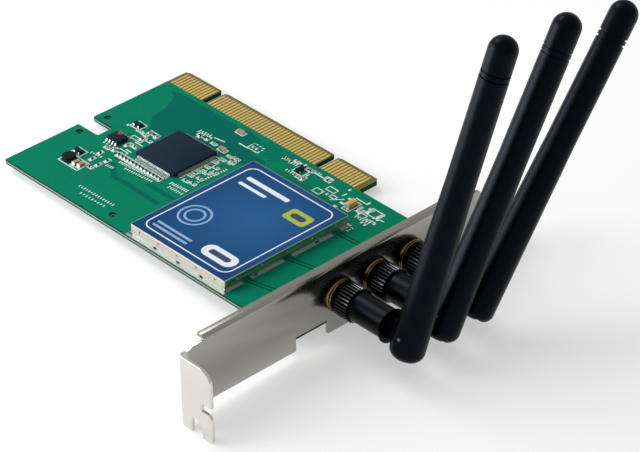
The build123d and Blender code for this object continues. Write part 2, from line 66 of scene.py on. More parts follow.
def rest():
    if bpy.context.mode != "OBJECT":
        bpy.ops.object.mode_set(mode="OBJECT")
    bpy.ops.object.select_all(action="DESELECT")


def pick(*objects):
    rest()
    for each in objects:
        each.select_set(True)
    bpy.context.view_layer.objects.active = objects[0]


def shapeWith(piece, kind, **settings):
    modifier = piece.modifiers.new(kind.title(), kind)
    for key, value in settings.items():
        setattr(modifier, key, value)
    pick(piece)
    bpy.ops.object.modifier_apply(modifier=modifier.name)


def settle(piece, name):
    # puts the piece's place into its mesh
    pick(piece)
    bpy.ops.object.transform_apply(location=True, rotation=True, scale=True)
    piece.name = name
    piece.data.name = name
    return piece


def smoothBelow(piece, degrees):
    pick(piece)
    bpy.ops.object.shade_smooth_by_angle(angle=math.radians(degrees))


def roundedBlock(size, edge, segments=2):
    # a block with its edges rounded, sizes in mm
    rest()
    bpy.ops.mesh.primitive_cube_add(size=1)
    piece = bpy.context.object
    piece.scale = [s * mm for s in size]
    bpy.ops.object.transform_apply(location=False, rotation=False, scale=True)
    shapeWith(piece, "BEVEL", width=edge * mm, segments=segments)
    smoothBelow(piece, 60)
    return piece


def spread(template, name, places):
    # a copy of the template at each (x, y, z, turn), joined into one piece
    parts = []
    for x, y, z, turn in places:
        part = template.copy()
        part.data = template.data.copy()
        bpy.context.collection.objects.link(part)
        part.location = (x * mm, y * mm, z * mm)
        part.rotation_euler = (0, 0, math.radians(turn))
        parts.append(part)
    bpy.data.objects.remove(template)
    pick(*parts)
    bpy.ops.object.join()
    return settle(bpy.context.object, name)


def joinPieces(name, parts):
    pick(*parts)
    if len(parts) > 1:
        bpy.ops.object.join()
    return settle(bpy.context.object, name)


def flatShape(corners, z, thick):
    # a thin plate with the given corners in mm, its underside at z
    rest()
    bpy.ops.mesh.primitive_circle_add(vertices=len(corners), radius=1, fill_type="NGON")
    piece = bpy.context.object
    for vertex, (x, y) in zip(piece.data.vertices, corners):
        vertex.co = (x * mm, y * mm, z * mm)
    bpy.ops.object.mode_set(mode="EDIT")
    bpy.ops.mesh.select_all(action="SELECT")
    bpy.ops.mesh.extrude_region_move(TRANSFORM_OT_translate={"value": (0, 0, thick * mm)})
    bpy.ops.mesh.select_all(action="SELECT")
    bpy.ops.mesh.normals_make_consistent(inside=False)
    rest()
    return piece


def roundedPlate(centre, size, corner, z, thick, line=0):
    # a thin plate with round corners, or with a line width only its outline, sizes in mm
    rest()
    bpy.ops.mesh.primitive_plane_add(size=1, location=(centre[0] * mm, centre[1] * mm, z * mm))
    piece = bpy.context.object
    piece.scale = (size[0] * mm, size[1] * mm, 1)
    bpy.ops.object.transform_apply(location=True, rotation=True, scale=True)
    bpy.ops.object.mode_set(mode="EDIT")
    bpy.ops.mesh.select_all(action="SELECT")
    bpy.ops.mesh.bevel(offset=corner * mm, segments=8, affect="VERTICES")
    if line:
        bpy.ops.mesh.select_all(action="SELECT")
        bpy.ops.mesh.inset(thickness=line * mm)
        bpy.ops.mesh.delete(type="FACE")
    bpy.ops.mesh.select_all(action="SELECT")
    bpy.ops.mesh.extrude_region_move(TRANSFORM_OT_translate={"value": (0, 0, thick * mm)})
    bpy.ops.mesh.select_all(action="SELECT")
    bpy.ops.mesh.normals_make_consistent(inside=False)
    rest()
    return piece


def bandCorners(path, width):
    # outline of a band that follows a path, with mitred corners
    left = []
    right = []
    points = [Vector(p) for p in path]
    for i, point in enumerate(points):
        before = (point - points[i - 1]).normalized() if i else (points[1] - point).normalized()
        after = (points[i + 1] - point).normalized() if i + 1 < len(points) else before
        along = (before + after).normalized()
        side = Vector((-along.y, along.x)) * (width / 2 / max(along.dot(before), 0.5))
        left.append(tuple(point + side))
        right.append(tuple(point - side))
    return left + right[::-1]


def softCopy(nodeName, name, edge, segments=2, sharp=35):
    # a merged copy of a solid with its sharp edges broken, as a press or a mould leaves them
    piece = nodes[nodeName].copy()
    piece.data = nodes[nodeName].data.copy()
    bpy.context.collection.objects.link(piece)
    piece.parent = None
    pick(piece)
    bpy.ops.object.mode_set(mode="EDIT")
    bpy.ops.mesh.select_all(action="SELECT")
    bpy.ops.mesh.remove_doubles(threshold=0.001 * mm)
    bpy.ops.mesh.dissolve_limited(angle_limit=math.radians(0.5))
    rest()
    shapeWith(piece, "BEVEL", width=edge * mm, segments=segments, limit_method="ANGLE",
              angle_limit=math.radians(sharp), use_clamp_overlap=True)
    smoothBelow(piece, sharp)
    return settle(piece, name)


def dress(piece, body, slotName, material, *replaced):
    piece.data.materials.clear()
    piece.data.materials.append(material)
    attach(piece, body)
    if replaced:
        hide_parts(*replaced)


def finishNode(nodeName, material):
    # a carried-over solid keeps its shape and takes a better finish
    for place in nodes[nodeName].material_slots:
        place.material = material


def chipBoxes(nodeName):
    # middle, length, width, height and turn of each chip in a node, in mm
    piece = nodes[nodeName].copy()
    piece.data = nodes[nodeName].data.copy()
    bpy.context.collection.objects.link(piece)
    piece.parent = None
    pick(piece)
    bpy.ops.object.mode_set(mode="EDIT")
    bpy.ops.mesh.select_all(action="SELECT")
    bpy.ops.mesh.remove_doubles(threshold=0.001 * mm)
    bpy.ops.mesh.separate(type="LOOSE")
    rest()
    found = []
    for part in [o for o in bpy.context.scene.objects if o.name.split(".")[0] == piece.name.split(".")[0]
                 and o != nodes[nodeName]]:
        corners = [v.co / mm for v in part.data.vertices]
        low = [min(c[i] for c in corners) for i in range(3)]
        high = [max(c[i] for c in corners) for i in range(3)]
        size = [h - l for l, h in zip(low, high)]
        turn = 0 if size[0] >= size[1] else 90
        found.append(((low[0] + high[0]) / 2, (low[1] + high[1]) / 2, max(size[:2]), min(size[:2]), size[2], turn))
        bpy.data.objects.remove(part)
    return found


# materials

def linear(hexText):
    parts = [int(hexText[i:i + 2], 16) / 255 for i in (1, 3, 5)]
    return [c / 12.92 if c <= 0.04045 else ((c + 0.055) / 1.055) ** 2.4 for c in parts] + [1.0]


def addNode(tree, kind, values=None, links=None, **settings):
    node = tree.nodes.new(kind)
    for key, value in settings.items():
        setattr(node, key, value)
    for socket, value in (values or {}).items():
        node.inputs[socket].default_value = value
    for socket, source in (links or {}).items():
        tree.links.new(source, node.inputs[socket])
    return node


def newFinish(name, **sockets):
    # a named material with its constant shader values set on the sockets
    material = bpy.data.materials.new(name)
    material.use_nodes = True
    surface = material.node_tree.nodes["Principled BSDF"]
    for socket, value in sockets.items():
        surface.inputs[socket.replace("_", " ")].default_value = value
    return material, material.node_tree, surface


def perMm(size):
    # texture scale on coordinates in metres for a feature of this size in mm
    return 1 / (size * mm)


board = {"maskGreen": "#027a5b", "maskShade": "#017356", "via": "#1f8165", "laminate": "#6f6433",
         # the key-gap walls' dark green is painted shade
         "tongueEdge": "#86825c", "keyWallPaintedShade": "#1b4a35",
         # cut edge from the underside up: share of the thickness where each layer starts, and its colour; the lowest
         # band is painted shade
         "edgeLayersAndShade": ((0.0, "#2a3632"), (0.26, "#83918c"), (0.62, "#0a3d2f")),
         "weave": 0.5, "weaveBump": 0.12, "weaveDepth": 0.02, "cloud": 7.0, "viaSpacing": 3.4, "viaSize": 0.16,
         "tongueStart": -8.1, "steep": 0.6}


def boardFinish():
    # solder mask on glass-fibre laminate: half-gloss green coat with small covered vias, faint weave, raw cut edges;
    # the lowest band of each cut edge and the key-gap walls are painted shade
    material, tree, surface = newFinish("solderMaskOnLaminate", Roughness=0.34, Specular_IOR_Level=0.02)
    place = addNode(tree, "ShaderNodeTexCoord")
    cloud = addNode(tree, "ShaderNodeTexNoise", {"Scale": perMm(board["cloud"]), "Detail": 3.0},
                    {"Vector": place.outputs["Object"]})
    coat = addNode(tree, "ShaderNodeMix", {6: linear(board["maskShade"]), 7: linear(board["maskGreen"])},
                   {0: cloud.outputs["Fac"]}, data_type="RGBA")
    dots = addNode(tree, "ShaderNodeTexVoronoi", {"Scale": perMm(board["viaSpacing"]), "Randomness": 0.85},
                   {"Vector": place.outputs["Object"]}, voronoi_dimensions="2D")
    via = addNode(tree, "ShaderNodeMath", {1: board["viaSize"] / board["viaSpacing"]},
                  {0: dots.outputs["Distance"]}, operation="LESS_THAN")
    dotted = addNode(tree, "ShaderNodeMix", {7: linear(board["via"])},
                     {0: via.outputs[0], 6: coat.outputs[2]}, data_type="RGBA")
    spot = addNode(tree, "ShaderNodeSeparateXYZ", links={0: place.outputs["Object"]})
    bare = addNode(tree, "ShaderNodeMath", {1: board["tongueStart"] * mm}, {0: spot.outputs["Y"]},
                   operation="GREATER_THAN")
    facing = addNode(tree, "ShaderNodeSeparateXYZ", links={0: place.outputs["Normal"]})
    upright = addNode(tree, "ShaderNodeMath", links={0: facing.outputs["Z"]}, operation="ABSOLUTE")
    cut = addNode(tree, "ShaderNodeMath", {1: board["steep"]}, {0: upright.outputs[0]}, operation="LESS_THAN")
    tongue = addNode(tree, "ShaderNodeMix", {7: linear(board["laminate"])},
                     {0: bare.outputs[0], 6: dotted.outputs[2]}, data_type="RGBA")
    low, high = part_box("circuit_board")
    height = addNode(tree, "ShaderNodeMapRange", {"From Min": low[2], "From Max": high[2]},
                     {"Value": spot.outputs["Z"]})
    # colours of the cut edge by height: mask on top, laminate core, and painted shade in the lowest band
    edgeLayersAndShade = addNode(tree, "ShaderNodeValToRGB", links={0: height.outputs[0]})
    edgeLayersAndShade.color_ramp.interpolation = "CONSTANT"
    edgeLayersAndShade.color_ramp.elements.new(0.5)
    for stop, (start, colour) in zip(edgeLayersAndShade.color_ramp.elements, board["edgeLayersAndShade"]):
        stop.position = start
        stop.color = linear(colour)
    # cut faces turned sideways on the tongue take the key-wall colour: painted shade in the key gap
    sideways = addNode(tree, "ShaderNodeMath", links={0: facing.outputs["X"]}, operation="ABSOLUTE")
    inKey = addNode(tree, "ShaderNodeMath", {1: board["steep"]}, {0: sideways.outputs[0]}, operation="GREATER_THAN")
    tongueEdge = addNode(tree, "ShaderNodeMix", {6: linear(board["tongueEdge"]), 7: linear(board["keyWallPaintedShade"])},
                         {0: inKey.outputs[0]}, data_type="RGBA")
    edge = addNode(tree, "ShaderNodeMix", links={0: bare.outputs[0], 6: edgeLayersAndShade.outputs[0], 7: tongueEdge.outputs[2]},
                   data_type="RGBA")
    whole = addNode(tree, "ShaderNodeMix", links={0: cut.outputs[0], 6: tongue.outputs[2], 7: edge.outputs[2]},
                    data_type="RGBA")
    tree.links.new(whole.outputs[2], surface.inputs["Base Color"])
    weaveX = addNode(tree, "ShaderNodeTexWave", {"Scale": perMm(board["weave"]) / 20, "Distortion": 0.4},
                     {"Vector": place.outputs["Object"]}, bands_direction="X")
    weaveY = addNode(tree, "ShaderNodeTexWave", {"Scale": perMm(board["weave"]) / 20, "Distortion": 0.4},
                     {"Vector": place.outputs["Object"]}, bands_direction="Y")
    weave = addNode(tree, "ShaderNodeMath", links={0: weaveX.outputs["Fac"], 1: weaveY.outputs["Fac"]},
                    operation="MULTIPLY")
    bump = addNode(tree, "ShaderNodeBump", {"Strength": board["weaveBump"], "Distance": board["weaveDepth"] * mm},
                   {"Height": weave.outputs[0]})
    tree.links.new(bump.outputs[0], surface.inputs["Normal"])
    return material


labelFilm = {"middle": (36.0, -42.0), "reach": 30.0, "glow": "#285b8c", "field": "#17416f"}


def labelFinish():
    # printed vinyl film: smooth, half-gloss, the blue paler towards the middle
    material, tree, surface = newFinish("printedVinylFilm", Roughness=0.35, Specular_IOR_Level=0.03)
    place = addNode(tree, "ShaderNodeTexCoord")
    x, y = labelFilm["middle"]
    centred = addNode(tree, "ShaderNodeMapping", {"Location": (-x / labelFilm["reach"], -y / labelFilm["reach"], 0),
                                                  "Scale": (perMm(labelFilm["reach"]), perMm(labelFilm["reach"]), 0)},
                      {0: place.outputs["Object"]})
    glow = addNode(tree, "ShaderNodeTexGradient", links={0: centred.outputs[0]}, gradient_type="SPHERICAL")
    field = addNode(tree, "ShaderNodeMix", {6: linear(labelFilm["field"]), 7: linear(labelFilm["glow"])},
                    {0: glow.outputs["Fac"]}, data_type="RGBA")
    tree.links.new(field.outputs[2], surface.inputs["Base Color"])
    return material


def plainFinish(name, colour, shade, grain, depth, **sockets):
    # one colour with a fine cloud of a second one and a matching bump, both at the grain's size in mm
    material, tree, surface = newFinish(name, **sockets)
    place = addNode(tree, "ShaderNodeTexCoord")
    cloud = addNode(tree, "ShaderNodeTexNoise", {"Scale": perMm(grain), "Detail": 4.0},
                    {"Vector": place.outputs["Object"]})
    mix = addNode(tree, "ShaderNodeMix", {6: linear(shade), 7: linear(colour)}, {0: cloud.outputs["Fac"]},
                  data_type="RGBA")
    tree.links.new(mix.outputs[2], surface.inputs["Base Color"])
    bump = addNode(tree, "ShaderNodeBump", {"Strength": 0.3, "Distance": depth * mm},
                   {"Height": cloud.outputs["Fac"]})
    tree.links.new(bump.outputs[0], surface.inputs["Normal"])
    return material


# rim is the colour of the painted shade towards each contact's sides
contact = {"gold": "#f6de8e", "rim": "#9d8040", "rubbedAndHighlight": "#e7ca70", "tip": "#8f885c", "pitch": 1.27, "start": 0.22,
           "half": 0.475, "rimWidth": 0.2, "rubbing": 1.2, "tipLength": 0.7}


def contactFinish():
    # gold flash over nickel on etched copper: warm, half-bright, painted shade towards each contact's sides, worn off
    # at the tip
    material, tree, surface = newFinish("goldFlashOnCopper", Metallic=1.0, Roughness=0.36)
    place = addNode(tree, "ShaderNodeTexCoord")
    rubbing = addNode(tree, "ShaderNodeTexNoise", {"Scale": perMm(contact["rubbing"]), "Detail": 3.0},
                      {"Vector": place.outputs["Object"]})
    gold = addNode(tree, "ShaderNodeMix", {6: linear(contact["rubbedAndHighlight"]), 7: linear(contact["gold"])},
                   {0: rubbing.outputs["Fac"]}, data_type="RGBA")
    spot = addNode(tree, "ShaderNodeSeparateXYZ", links={0: place.outputs["Object"]})
    shifted = addNode(tree, "ShaderNodeMath", {1: contact["start"] * mm}, {0: spot.outputs["X"]},
                      operation="SUBTRACT")
    fromMiddle = addNode(tree, "ShaderNodeMath", {1: contact["pitch"] / 2 * mm}, {0: shifted.outputs[0]},
                         operation="PINGPONG")
    # painted shade: darker towards each contact's sides
    rim = addNode(tree, "ShaderNodeMapRange", {"From Min": (contact["half"] - contact["rimWidth"]) * mm,
                                               "From Max": contact["half"] * mm}, {"Value": fromMiddle.outputs[0]})
    sided = addNode(tree, "ShaderNodeMix", {7: linear(contact["rim"])}, {0: rim.outputs[0], 6: gold.outputs[2]},
                    data_type="RGBA")
    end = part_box("edge_contacts_front")[1][1]
    tip = addNode(tree, "ShaderNodeMapRange", {"From Min": end - contact["tipLength"] * mm,
                                               "From Max": end - contact["tipLength"] / 2 * mm},
                  {"Value": spot.outputs["Y"]})
    whole = addNode(tree, "ShaderNodeMix", {7: linear(contact["tip"])}, {0: tip.outputs[0], 6: sided.outputs[2]},
                    data_type="RGBA")
    tree.links.new(whole.outputs[2], surface.inputs["Base Color"])
    return material


# the tab's lighter colour is a painted highlight
nickel = {"panel": "#a19f98", "panelShade": "#989690", "tab": "#dcd9d3", "tabStart": 3.2, "tabFull": 0.8,
          "cloud": 6.0}


def nickelFinish():
    # nickel-plated steel sheet: grey, half-bright, soft reflections; the tab is painted brighter as a painted
    # highlight
    material, tree, surface = newFinish("nickelPlatedSteel", Metallic=1.0, Roughness=0.2)
    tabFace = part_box("slot_bracket")[0][1]
    place = addNode(tree, "ShaderNodeTexCoord")
    cloud = addNode(tree, "ShaderNodeTexNoise", {"Scale": perMm(nickel["cloud"]), "Detail": 2.0},
                    {"Vector": place.outputs["Object"]})
    sheet = addNode(tree, "ShaderNodeMix", {6: linear(nickel["panelShade"]), 7: linear(nickel["panel"])},
                    {0: cloud.outputs["Fac"]}, data_type="RGBA")
    spot = addNode(tree, "ShaderNodeSeparateXYZ", links={0: place.outputs["Object"]})
    # painted highlight: the colour turns lighter towards the tab's face
    onTab = addNode(tree, "ShaderNodeMapRange", {"From Min": tabFace + nickel["tabStart"] * mm,
                                                 "From Max": tabFace + nickel["tabFull"] * mm},
                    {"Value": spot.outputs["Y"]})
    whole = addNode(tree, "ShaderNodeMix", {7: linear(nickel["tab"])}, {0: onTab.outputs[0], 6: sheet.outputs[2]},
                    data_type="RGBA")
    tree.links.new(whole.outputs[2], surface.inputs["Base Color"])
    return material


# crest is the colour of a painted glint on the ridges' crests
nutPlate = {"groove": "#08090b", "paintedCrestGlint": "#949ca5", "crestStart": 4.88, "crestEnd": 5.0}


def nutFinish(number):
    # black chrome over brass: near-black, with a painted glint along the crests of the ridges
    low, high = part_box("aerial_%d_coupling_nut" % number)
    material, tree, surface = newFinish("blackChromedBrass%d" % number, Metallic=1.0, Roughness=0.3)
    place = addNode(tree, "ShaderNodeTexCoord")
    centred = addNode(tree, "ShaderNodeMapping", {"Location": (0, -(low[1] + high[1]) / 2, -(low[2] + high[2]) / 2),
                                                  "Scale": (0, 1, 1)}, {0: place.outputs["Object"]})
    radius = addNode(tree, "ShaderNodeVectorMath", links={0: centred.outputs[0]}, operation="LENGTH")
    # painted glint: lighter where the radius nears the crests
    paintedCrestGlint = addNode(tree, "ShaderNodeMapRange", {"From Min": nutPlate["crestStart"] * mm,
                                                 "From Max": nutPlate["crestEnd"] * mm}, {"Value": radius.outputs[1]})
    plate = addNode(tree, "ShaderNodeMix", {6: linear(nutPlate["groove"]), 7: linear(nutPlate["paintedCrestGlint"])},
                    {0: paintedCrestGlint.outputs[0]}, data_type="RGBA")
    tree.links.new(plate.outputs[2], surface.inputs["Base Color"])
    return material


# painted shade over the washer's body, a painted highlight along its front edge
washerGold = {"bright": "#f4d07a", "paintedShade": "#2b200f", "rubbedAndHighlight": 0.2, "fade": 0.28}


def washerFinish():
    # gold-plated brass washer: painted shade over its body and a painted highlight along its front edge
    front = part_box("jack_1_washer")[1][0]
    material, tree, surface = newFinish("goldWasherPaintedShadeAndHighlight", Metallic=1.0, Roughness=0.25)
    place = addNode(tree, "ShaderNodeTexCoord")
    spot = addNode(tree, "ShaderNodeSeparateXYZ", links={0: place.outputs["Object"]})
    # painted highlight along the front edge, painted shade behind it
    edge = addNode(tree, "ShaderNodeMapRange", {"From Min": front - washerGold["fade"] * mm,
                                                "From Max": front - washerGold["rubbedAndHighlight"] * mm},
                   {"Value": spot.outputs["X"]})
    plate = addNode(tree, "ShaderNodeMix", {6: linear(washerGold["paintedShade"]), 7: linear(washerGold["bright"])},
                    {0: edge.outputs[0]}, data_type="RGBA")
    tree.links.new(plate.outputs[2], surface.inputs["Base Color"])
    return material


finishes = {
    "board": boardFinish(),
    "contactGold": contactFinish(),
    # copper plane under the mask: the same coat, darker and bluer
    "pour": plainFinish("maskOverCopper", "#006556", "#005f52", 4.0, 0.004, Roughness=0.36, Specular_IOR_Level=0.02),
    "trace": plainFinish("maskOverTrace", "#006c55", "#006650", 4.0, 0.004, Roughness=0.36, Specular_IOR_Level=0.02),
    # etched gap beside a radio trace: mask straight on the laminate, darkest
    "gapLine": plainFinish("maskOverGap", "#013c31", "#01352b", 4.0, 0.004, Roughness=0.36, Specular_IOR_Level=0.02),
    # white epoxy ink: flat, slightly uneven
    "whitePrint": plainFinish("whiteEpoxyInk", "#dcebe6", "#c9ddd7", 0.6, 0.006, Roughness=0.6),
    # gold flash over nickel: warm, half-bright, faint rubbing
    "goldFlash": plainFinish("goldFlash", "#dcc676", "#c8ae58", 1.2, 0.004, Metallic=1.0, Roughness=0.34),
    "nickelPlate": nickelFinish(),
    # tin-plated steel: pale, slightly yellow, softer than nickel
    "tinPlate": plainFinish("tinPlatedSteel", "#d6d0c6", "#c5bfb5", 1.5, 0.006, Metallic=1.0, Roughness=0.3),
    "labelFilm": labelFinish(),
    # screen inks on the label: flat and smooth
    "labelWhite": plainFinish("whiteScreenInk", "#e3e8ef", "#d8dfe8", 2.0, 0.002, Roughness=0.45),
    "labelPale": plainFinish("paleBlueScreenInk", "#86a6cc", "#7c9cc4", 2.0, 0.002, Roughness=0.45),
    "labelLime": plainFinish("limeScreenInk", "#a9b83a", "#9cab31", 2.0, 0.002, Roughness=0.45),
    "labelNavy": plainFinish("navyScreenInk", "#15345f", "#122e55", 2.0, 0.002, Roughness=0.45),
    # moulded epoxy: near-black with a painted bluish reflection, fine matt grain
    "epoxy": plainFinish("mouldedEpoxy", "#1a2c3a", "#152430", 0.12, 0.01, Roughness=0.5, Specular_IOR_Level=0.04),
    "tinLead": plainFinish("tinPlatedCopper", "#b6baba", "#a2a6a6", 0.3, 0.004, Metallic=1.0, Roughness=0.32),
    # hot-levelled tin on copper: cool grey, half-bright
    "bareTin": plainFinish("levelledTin", "#aebbb8", "#9daaa7", 0.8, 0.006, Metallic=0.7, Roughness=0.4),
    # reflowed solder: bright, soft rounded glints
    "solder": plainFinish("reflowedSolder", "#d9dfdd", "#c9cfcd", 0.4, 0.006, Metallic=0.5, Roughness=0.35),
    "tanCeramic": plainFinish("firedTanCeramic", "#a5835f", "#8d6c4b", 0.2, 0.006, Roughness=0.55),
    "resistorGlaze": plainFinish("resistorGlaze", "#141619", "#0e1012", 0.2, 0.004, Roughness=0.4,
                                 Specular_IOR_Level=0.1),
    "tantalumEpoxy": plainFinish("orangeEpoxy", "#d7a14f", "#c58c3b", 0.3, 0.006, Roughness=0.5),
    "ferrite": plainFinish("greyFerrite", "#12181d", "#0d1216", 0.2, 0.01, Roughness=0.6, Specular_IOR_Level=0.1),
    "redPaint": plainFinish("redMarkingPaint", "#b8203a", "#a01a31", 0.4, 0.006, Roughness=0.5),
    "goldBrass": plainFinish("goldPlatedBrass", "#e0b24c", "#cf9d36", 0.8, 0.003, Metallic=1.0, Roughness=0.3),
    "fluoropolymer": plainFinish("whiteFluoropolymer", "#eeeeea", "#e2e2dd", 0.6, 0.004, Roughness=0.5, IOR=1.35),
    "nut1": nutFinish(1),
    "nut2": nutFinish(2),
    "nut3": nutFinish(3),
    "washerGold": washerFinish(),
    # moulded polymer: deep black, fine spark-eroded satin drawn coarse enough to show, cool highlights
    "satinBlack": plainFinish("satinBlackPolymer", "#030304", "#020203", 0.45, 0.03, Roughness=0.33,
                              Specular_IOR_Level=0.12, Specular_Tint=linear("#b4cbf0")),
    "steelPin": plainFinish("drawnSteel", "#98999b", "#88898b", 0.4, 0.003, Metallic=1.0, Roughness=0.25),
    "brassTube": plainFinish("drawnBrass", "#b88f4d", "#a57d3e", 0.6, 0.004, Metallic=1.0, Roughness=0.35),
}
print("materials", len(finishes))

nodeFinish = {
    "circuit_board": "board", "edge_contacts_front": "contactGold", "edge_contacts_back": "contactGold",
    "slot_bracket": "nickelPlate", "shield_frame": "tinPlate", "shield_cover": "tinPlate",
    "shield_label": "labelFilm", "main_chip": "epoxy", "main_chip_leads": "tinLead", "memory_chip": "epoxy",
    "memory_chip_leads": "tinLead", "transistors": "epoxy", "transistor_leads": "tinLead",
    "power_inductor": "ferrite", "tantalum_capacitor": "tantalumEpoxy", "large_capacitors": "tanCeramic",
    "chip_capacitors": "tanCeramic", "chip_resistors": "resistorGlaze", "radio_chip": "epoxy",
    "power_amplifiers": "epoxy", "clock_crystal": "tinPlate",
}
jackFinish = {"body": "goldBrass", "insulator": "fluoropolymer", "contact": "goldFlash", "washer": "washerGold",
              "nut": "goldBrass"}
aerialFinish = {"coupling_nut": "nut%d", "core": "goldBrass", "base": "satinBlack", "hinge_pin": "steelPin",
                "rod": "satinBlack", "tip_cap": "satinBlack", "radiator": "brassTube"}
for number in (1, 2, 3):
    for piece, finish in jackFinish.items():
        nodeFinish["jack_%d_%s" % (number, piece)] = finish
    for piece, finish in aerialFinish.items():
        nodeFinish["aerial_%d_%s" % (number, piece)] = finish.replace("%d", str(number))
for nodeName, finish in nodeFinish.items():
    finishNode(nodeName, finishes[finish])
print("finishes on", len(nodeFinish), "solids")

# solder: tinned ends, toes and pads of the two-ended chips
chipEnd = {"cap": 0.2, "proud": 0.02, "toe": 0.16, "toeRise": 0.6, "edge": 0.03, "padPast": 0.05, "padThick": 0.03}
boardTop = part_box("circuit_board")[1][2] / mm


def solderToe(length, width, height):
    # a wedge that falls from the chip's end to the pad
    rest()
    bpy.ops.mesh.primitive_cube_add(size=1, location=(length / 2 * mm, 0, height / 2 * mm))
    toe = bpy.context.object
    toe.scale = (length * mm, width * mm, height * mm)
    bpy.ops.object.transform_apply(location=True, rotation=True, scale=True)
    bpy.ops.object.mode_set(mode="EDIT")
    bpy.ops.mesh.select_all(action="DESELECT")
    bpy.ops.object.mode_set(mode="OBJECT")
    for vertex in toe.data.vertices:
        vertex.select = vertex.co.x > length / 2 * mm and vertex.co.z > height / 2 * mm
    bpy.ops.object.mode_set(mode="EDIT")
    bpy.ops.transform.translate(value=(0, 0, -0.8 * height * mm))
    rest()
    return toe


def chipEnds(length, width, height):
    # both tinned ends of one chip about its middle, standing on z = 0
    parts = []
    proud = chipEnd["proud"]
    for side in (0, 180):
        cap = roundedBlock((chipEnd["cap"], width + 2 * proud, height + proud), chipEnd["edge"], 1)
        cap.location = ((length / 2 + proud - chipEnd["cap"] / 2) * mm, 0, (height + proud) / 2 * mm)
        settle(cap, "cap")
        toe = solderToe(chipEnd["toe"], width, height * chipEnd["toeRise"])
        toe.location.x = length / 2 * mm
        settle(toe, "toe")
        pad = roundedBlock((chipEnd["cap"] + chipEnd["toe"] + chipEnd["padPast"], width + 2 * chipEnd["padPast"],
                            chipEnd["padThick"]), 0.01, 1)
        pad.location = ((length / 2 + chipEnd["toe"] / 2) * mm, 0, chipEnd["padThick"] / 2 * mm)
        settle(pad, "pad")
        end = joinPieces("end", [cap, toe, pad])
        end.rotation_euler.z = math.radians(side)
        parts.append(settle(end, "end"))
    return joinPieces("ends", parts)


chipPlaces = {}
for nodeName in ("chip_capacitors", "chip_resistors", "large_capacitors", "tantalum_capacitor"):
    boxes = chipBoxes(nodeName)
    chipPlaces[nodeName] = boxes
    length, width, height = boxes[0][2:5]
    ends = spread(chipEnds(length, width, height), nodeName + "Ends",
                  [(x, y, boardTop, turn) for x, y, _, _, _, turn in boxes])
    dress(ends, "card", "tinned_leads", finishes["solder"])
print("chip ends", sum(len(b) for b in chipPlaces.values()))

# pressed and moulded pieces: the solids with their sharp edges broken
softened = {
    "foldedBracket": ("slot_bracket", 0.12, "nickel_sheet", "nickelPlate"),
    "pressedCover": ("shield_cover", 0.1, "tinned_sheet", "tinPlate"),
    "mainChipBody": ("main_chip", 0.1, "chip_epoxy", "epoxy"),
    "memoryChipBody": ("memory_chip", 0.08, "chip_epoxy", "epoxy"),
    "wireDrum": ("power_inductor", 0.08, "ferrite_grey", "ferrite"),
    "tantalumBody": ("tantalum_capacitor", 0.12, "tantalum_orange", "tantalumEpoxy"),
    "jackBlock1": ("jack_1_body", 0.2, "gold_brass", "goldBrass"),
    "jackBlock2": ("jack_2_body", 0.2, "gold_brass", "goldBrass"),
    "jackBlock3": ("jack_3_body", 0.2, "gold_brass", "goldBrass"),
}
for name, (nodeName, edge, slotName, finish) in softened.items():
    piece = softCopy(nodeName, name, edge)
    dress(piece, "card", slotName, finishes[finish], nodeName)
print("softened", len(softened), "solids")

# bare footprints, and a pad under each lead of the bent-lead chips
footprints = {"pad": (0.75, 0.95, 0.04), "edge": 0.015,
              "places": ((34.4, -15.8), (36.0, -15.8), (49.8, -12.4), (51.2, -12.4), (47.3, -15.7), (48.7, -15.7),
                         (53.0, -18.7), (54.5, -18.7), (53.0, -16.7), (54.5, -16.7), (56.0, -16.7), (53.8, -14.7),
                         (55.3, -14.7), (3.6, -14.2), (5.0, -14.2), (-30.3, -32.1), (14.6, -11.3), (17.6, -10.6),
                         (19.5, -10.4), (21.0, -10.0), (30.4, -10.3), (31.5, -10.3), (39.0, -9.8), (47.6, -10.6)),
              # bare pads of their own size: middle, width, depth
              "wide": ((50.75, -13.2, 0.9, 2.7), (54.35, -13.2, 0.9, 2.7), (47.7, -14.6, 1.2, 2.9),
                       (49.3, -15.2, 1.0, 2.4), (42.4, -15.9, 1.9, 0.9), (42.5, -12.9, 1.8, 0.9),
                       (42.1, -18.3, 1.4, 0.8))}
pads = [spread(roundedBlock(footprints["pad"], footprints["edge"], 1), "smallPads",
               [(x, y, boardTop + footprints["pad"][2] / 2, 0) for x, y in footprints["places"]])]
for x, y, width, depth in footprints["wide"]:
    pad = roundedBlock((width, depth, footprints["pad"][2]), footprints["edge"], 1)
    pad.location = (x * mm, y * mm, (boardTop + footprints["pad"][2] / 2) * mm)
    pads.append(settle(pad, "widePad"))
dress(joinPieces("barePads", pads), "card", "tinned_leads", finishes["solder"])
leadPads = {"main": {"node": "main_chip", "count": 28, "pitch": 0.5, "reach": 0.95, "size": (1.3, 0.3, 0.03)},
            "memory": {"node": "memory_chip", "count": 4, "pitch": 1.27, "reach": 0.95, "size": (1.5, 0.6, 0.03)}}
padEdge = 0.01
for name, row in leadPads.items():
    low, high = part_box(row["node"])
    middle = [(a + b) / 2 / mm for a, b in zip(low, high)]
    half = [(b - a) / 2 / mm + row["reach"] for a, b in zip(low, high)]
    level = boardTop + row["size"][2] / 2
    places = []
    for i in range(row["count"]):
        along = (i - (row["count"] - 1) / 2) * row["pitch"]
        for side in (1, -1):
            if name == "main":
                places.append((middle[0] + side * half[0], middle[1] + along, level, 0))
            places.append((middle[0] + along, middle[1] + side * half[1], level, 90))
    pads = spread(roundedBlock(row["size"], padEdge, 1), name + "ChipPads", places)
    dress(pads, "card", "tinned_leads", finishes["tinLead"])
print("pads done")

